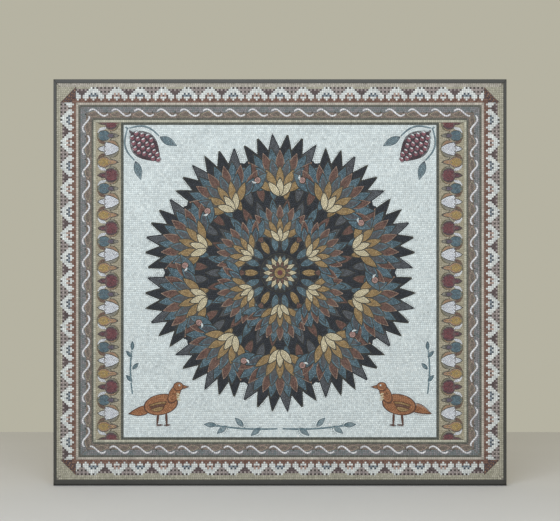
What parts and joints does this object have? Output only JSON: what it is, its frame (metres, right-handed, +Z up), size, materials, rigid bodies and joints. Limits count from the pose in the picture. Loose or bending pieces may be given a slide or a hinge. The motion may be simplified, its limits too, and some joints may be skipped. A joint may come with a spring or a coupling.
{
  "type": "mosaic panel",
  "caption": "Wall-hung stone mosaic panel in a slim dark metal frame: stepped zigzag, wave and flower-chain borders round a leafy medallion, grapes and birds on white.",
  "frame": {"origin": "middle of the backing board's back face, where the panel bears on the wall", "axes": "+X to the viewer's right along the width, +Z up, +Y into the wall; the stone face looks along -Y"},
  "size_m": [1.4, 0.032, 1.256],
  "materials": {
    "frame_metal": "satin",
    "plywood": "matte",
    "mortar": "rough",
    "beige_stone": "honed",
    "white_stone": "honed",
    "checked_stone": "honed",
    "red_stone": "honed",
    "cream_stone": "honed",
    "grey_stone": "honed",
    "lotus_stone": "honed",
    "dark_stone": "honed",
    "navy_stone": "honed",
    "teal_stone": "honed",
    "ochre_stone": "honed",
    "wine_stone": "honed",
    "russet_stone": "honed",
    "slate_stone": "honed"
  },
  "bodies": {
    "root": {"frame_bottom": "frame_metal", "frame_top": "frame_metal", "frame_left": "frame_metal", "frame_right": "frame_metal", "backing_board": "plywood", "mortar_bed": "mortar", "white_zigzag_bottom": "white_stone", "corner_check_bottom_right": "checked_stone", "white_zigzag_right": "white_stone", "corner_check_top_right": "checked_stone", "white_zigzag_top": "white_stone", "corner_check_top_left": "checked_stone", "white_zigzag_left": "white_stone", "corner_check_bottom_left": "checked_stone", "outer_margin": "beige_stone", "red_line": "red_stone", "outer_fillet": "cream_stone", "wave_border": "grey_stone", "inner_fillet": "cream_stone", "dark_line": "dark_stone", "lotus_chain_left": "lotus_stone", "lotus_ground_outer_left": "beige_stone", "lotus_ground_inner_left": "beige_stone", "lotus_chain_right": "lotus_stone", "lotus_ground_outer_right": "beige_stone", "lotus_ground_inner_right": "beige_stone", "leaf_fan_outer_1": "teal_stone", "leaf_fan_outer_2": "teal_stone", "leaf_fan_outer_3": "teal_stone", "leaf_fan_outer_4": "teal_stone", "leaf_fan_outer_5": "teal_stone", "leaf_fan_outer_6": "teal_stone", "leaf_fan_outer_7": "teal_stone", "leaf_fan_outer_8": "teal_stone", "leaf_fan_outer_9": "teal_stone", "leaf_fan_outer_10": "teal_stone", "leaf_fan_inner_1": "teal_stone", "leaf_fan_inner_2": "teal_stone", "leaf_fan_inner_3": "teal_stone", "leaf_fan_inner_4": "teal_stone", "leaf_fan_inner_5": "teal_stone", "leaf_fan_inner_6": "teal_stone", "rosette": "ochre_stone", "leaf_medallion": "navy_stone", "leaf_scroll": "slate_stone", "grapes_left": "wine_stone", "grapes_right": "wine_stone", "bird_left": "russet_stone", "bird_right": "russet_stone", "sprig_left": "slate_stone", "sprig_right": "slate_stone", "white_ground": "white_stone"}
  },
  "joints": []
}
